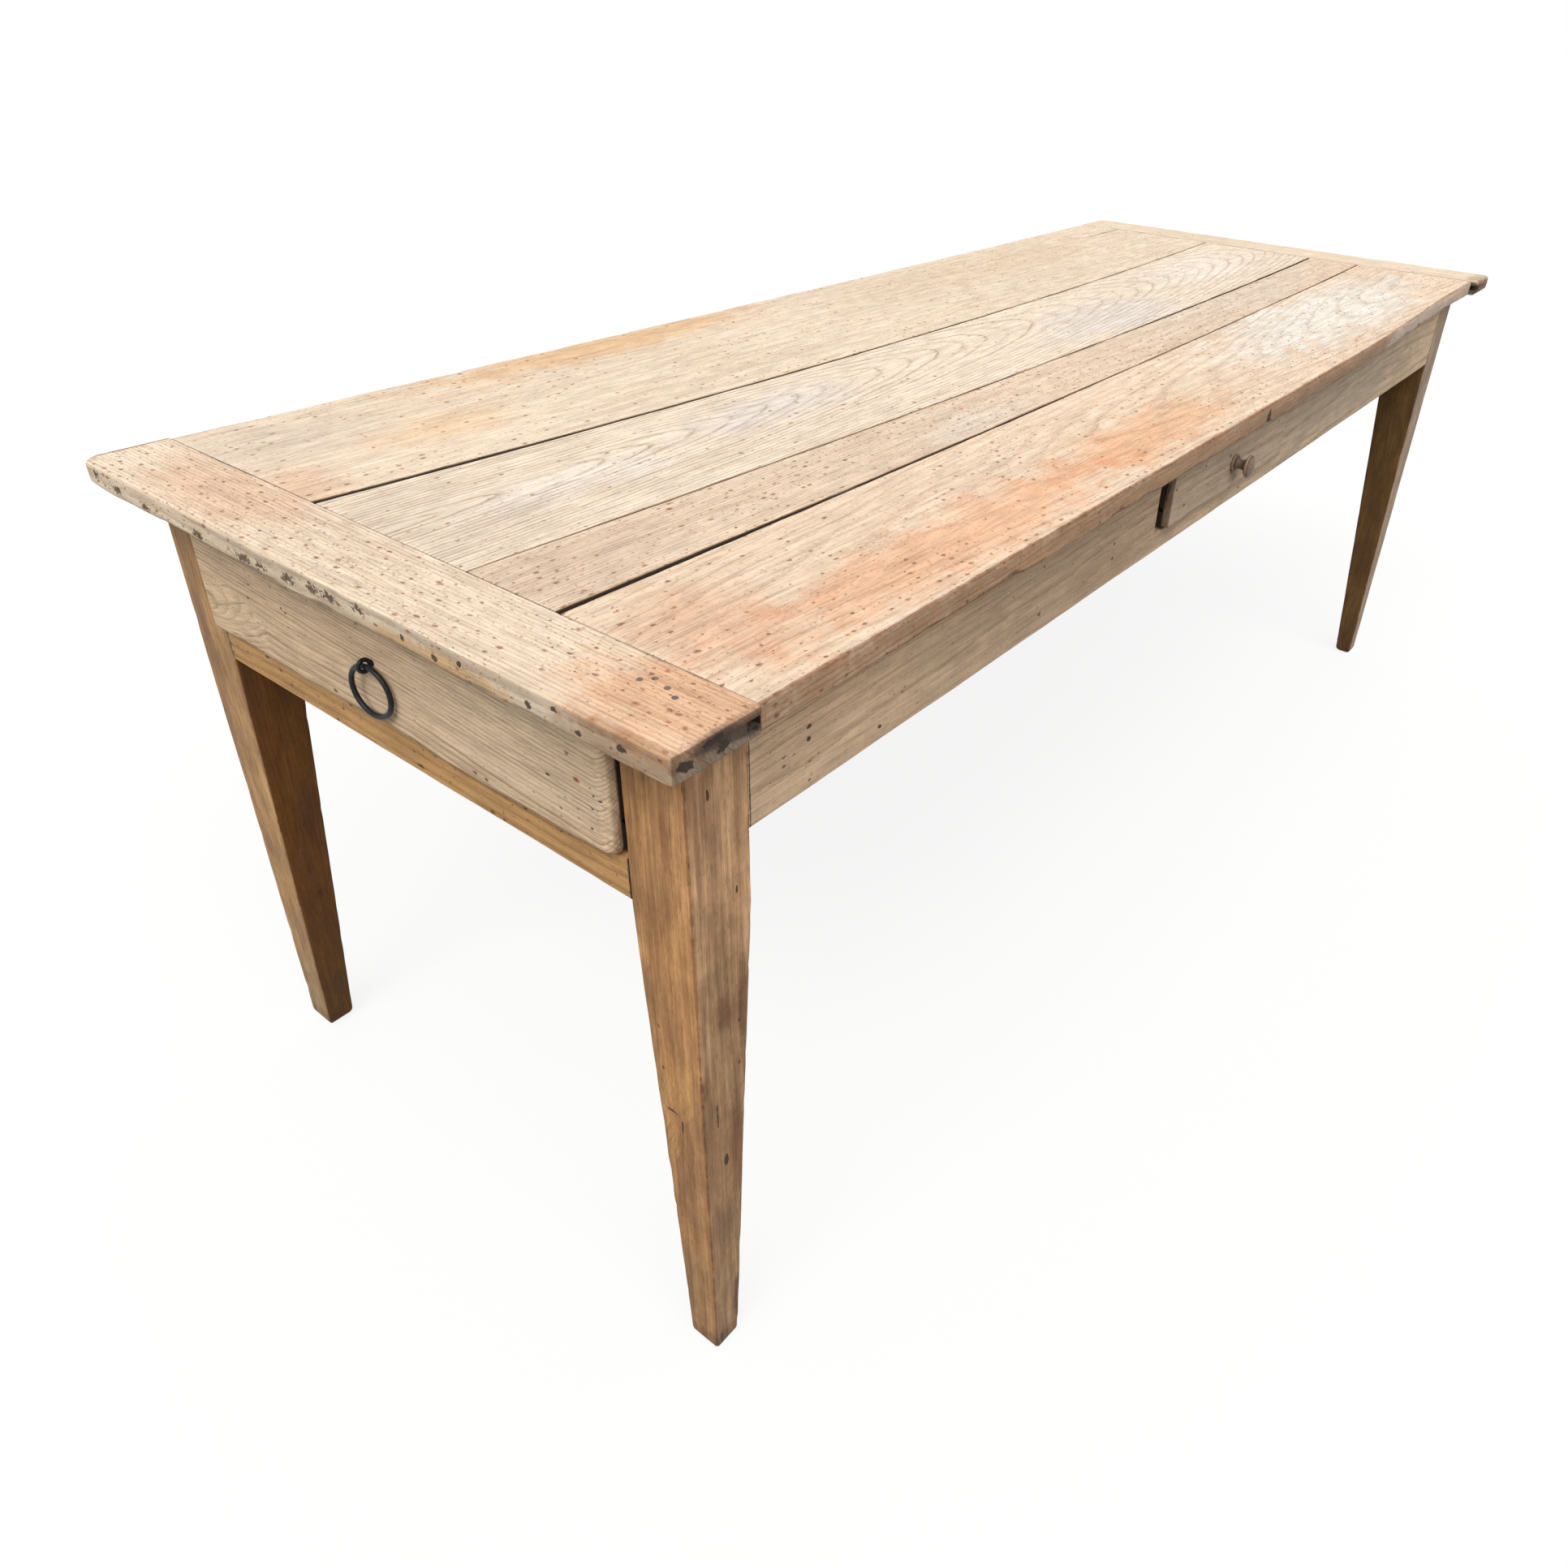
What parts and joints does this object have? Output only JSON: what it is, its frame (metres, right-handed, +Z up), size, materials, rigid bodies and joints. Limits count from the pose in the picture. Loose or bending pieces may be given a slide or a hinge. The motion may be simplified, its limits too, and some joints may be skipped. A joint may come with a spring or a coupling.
{
  "type": "farmhouse table",
  "caption": "Long oak farmhouse table with breadboard ends, square tapered legs, an end drawer with an iron ring pull and a small side drawer with a turned knob",
  "frame": {"origin": "on the floor under the middle of the top's outline", "axes": "+X along the length away from the end with the ring-pull drawer, +Y from the side with the small drawer to the back, +Z up"},
  "size_m": [2.1, 0.808, 0.76],
  "materials": {
    "oak_top": "bare sun-bleached oak, open grain",
    "oak_leg": "bare worn oak",
    "oak_frame": "bare greyed oak",
    "oak_drawer_front": "bare greyed oak",
    "oak_inner": "bare unfinished oak",
    "black_iron": "black, waxed by handling",
    "rusted_iron": "rusted",
    "knob_wood": "turned, worn"
  },
  "bodies": {
    "table": {"plank_1": "oak_top", "plank_2": "oak_top", "plank_3": "oak_top", "plank_4": "oak_top", "breadboard_near": "oak_top", "breadboard_far": "oak_top", "leg_near_front": "oak_leg", "leg_near_back": "oak_leg", "leg_far_front": "oak_leg", "leg_far_back": "oak_leg", "apron_front": "oak_frame", "apron_back": "oak_frame", "apron_far": "oak_frame", "rail_near": "oak_frame", "cross_rail": "oak_inner", "end_runner_front": "oak_inner", "end_runner_back": "oak_inner", "end_guide_front": "oak_inner", "end_guide_back": "oak_inner", "end_drawer_stops": "oak_inner", "side_runner_near": "oak_inner", "side_runner_far": "oak_inner", "side_guide_near": "oak_inner", "side_guide_far": "oak_inner", "side_drawer_stops": "oak_inner", "top_buttons": "oak_inner", "button_screws": "rusted_iron", "corner_nails": "rusted_iron"},
    "end_drawer": {"end_drawer_front": "oak_drawer_front", "end_drawer_side_front": "oak_inner", "end_drawer_side_back": "oak_inner", "end_drawer_back": "oak_inner", "end_drawer_bottom": "oak_inner", "end_drawer_nails": "rusted_iron", "eyebolt": "black_iron", "eyebolt_washer": "black_iron", "eyebolt_nut": "black_iron"},
    "side_drawer": {"side_drawer_front": "oak_drawer_front", "side_drawer_side_near": "oak_inner", "side_drawer_side_far": "oak_inner", "side_drawer_back": "oak_inner", "side_drawer_bottom": "oak_inner", "side_drawer_nails": "rusted_iron", "knob": "knob_wood"},
    "ring": {"ring": "black_iron"}
  },
  "joints": [
    {"name": "end_drawer_slide", "type": "slide", "parent": "table", "child": "end_drawer", "axis": [-1, 0, 0], "range_m": [0, 0.42]},
    {"name": "side_drawer_slide", "type": "slide", "parent": "table", "child": "side_drawer", "axis": [0, -1, 0], "range_m": [0, 0.33]},
    {"name": "ring_hinge", "type": "hinge", "parent": "end_drawer", "child": "ring", "pos_m": [-1.0236, -0.002, 0.6675], "axis": [0, 1, 0], "range_deg": [-3, 180]}
  ]
}
